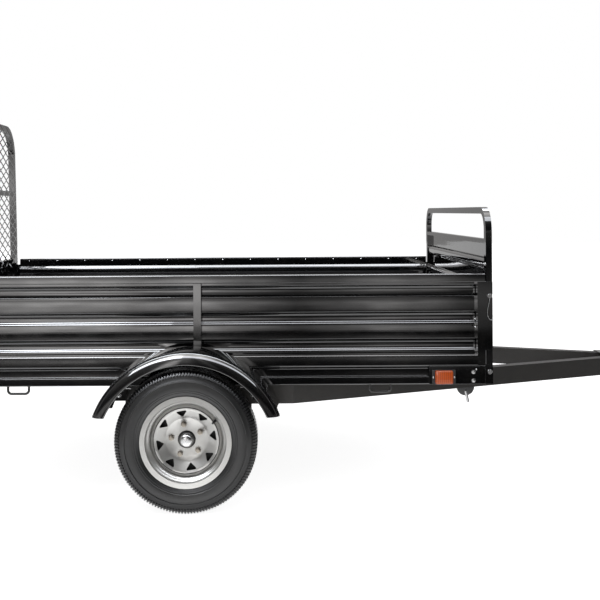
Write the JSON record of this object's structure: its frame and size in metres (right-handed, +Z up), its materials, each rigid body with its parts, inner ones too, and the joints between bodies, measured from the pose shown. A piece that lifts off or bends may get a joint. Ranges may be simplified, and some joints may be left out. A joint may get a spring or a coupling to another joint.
{
  "type": "utility trailer",
  "caption": "Single-axle steel utility trailer with grooved sheet sides, a fold-down front gate and an expanded-metal ramp gate.",
  "frame": {"origin": "on the ground, below the middle of the bounding box", "axes": "+X forward to the coupler, +Y to the left, +Z up"},
  "size_m": [3.2568, 1.96, 1.5531],
  "materials": {
    "black_enamel": "gloss",
    "floor_enamel": "satin",
    "beam_paint": "satin",
    "dark_steel": "satin",
    "tyre_rubber": "matte",
    "wheel_paint": "gloss",
    "hub_zinc": "satin",
    "zinc": "satin",
    "lanyard_wire": "satin",
    "amber_lens": "gloss",
    "red_lens": "gloss"
  },
  "bodies": {
    "chassis": {"axle": "dark_steel", "beam_lugs": "black_enamel", "bottom_rail_left": "black_enamel", "bottom_rail_right": "black_enamel", "coupler": "black_enamel", "coupler_latch": "zinc", "deck_floor": "floor_enamel", "fender_braces": "black_enamel", "fender_left": "black_enamel", "fender_right": "black_enamel", "floor_crossmembers": "black_enamel", "jack_crank": "black_enamel", "jack_tube": "black_enamel", "lamp_plates": "black_enamel", "leaf_springs": "dark_steel", "marker_lamps": "amber_lens", "posts_left": "black_enamel", "posts_right": "black_enamel", "side_panel_left": "black_enamel", "side_panel_right": "black_enamel", "sills": "black_enamel", "spring_hangers": "dark_steel", "tail_lamps": "red_lens", "tie_loops": "black_enamel", "tongue_beam_left": "beam_paint", "tongue_beam_right": "beam_paint", "top_rail_left": "black_enamel", "top_rail_right": "black_enamel"},
    "front_gate": {"front_gate_loop": "black_enamel", "front_gate_sheet": "black_enamel", "front_gate_pins": "zinc", "lanyard_left": "lanyard_wire", "lanyard_right": "lanyard_wire"},
    "ramp_gate": {"ramp_frame": "black_enamel", "ramp_sheet": "black_enamel", "ramp_mesh_front": "black_enamel", "ramp_mesh_back": "black_enamel", "ramp_gate_pins": "zinc"},
    "jack_leg": {"jack_leg": "zinc"},
    "wheel_left": {"tyre_left": "tyre_rubber", "rim_left": "wheel_paint", "hub_left": "hub_zinc"},
    "wheel_right": {"tyre_right": "tyre_rubber", "rim_right": "wheel_paint", "hub_right": "hub_zinc"}
  },
  "joints": [
    {"name": "wheel_left_spin", "type": "hinge", "parent": "chassis", "child": "wheel_left", "pos_m": [-0.53731, 0.91, 0.262], "axis": [0, 1, 0], "continuous": true},
    {"name": "wheel_right_spin", "type": "hinge", "parent": "chassis", "child": "wheel_right", "pos_m": [-0.53731, -0.91, 0.262], "axis": [0, 1, 0], "continuous": true},
    {"name": "ramp_gate_hinge", "type": "hinge", "parent": "chassis", "child": "ramp_gate", "pos_m": [-1.59431, 0, 0.46], "axis": [0, -1, 0], "range_deg": [0, 112.5]},
    {"name": "front_gate_hinge", "type": "hinge", "parent": "chassis", "child": "front_gate", "pos_m": [0.61069, 0, 0.484], "axis": [0, 1, 0], "range_deg": [0, 92]},
    {"name": "jack_slide", "type": "slide", "parent": "chassis", "child": "jack_leg", "axis": [0, 0, 1], "range_m": [-0.12, 0.23]}
  ]
}
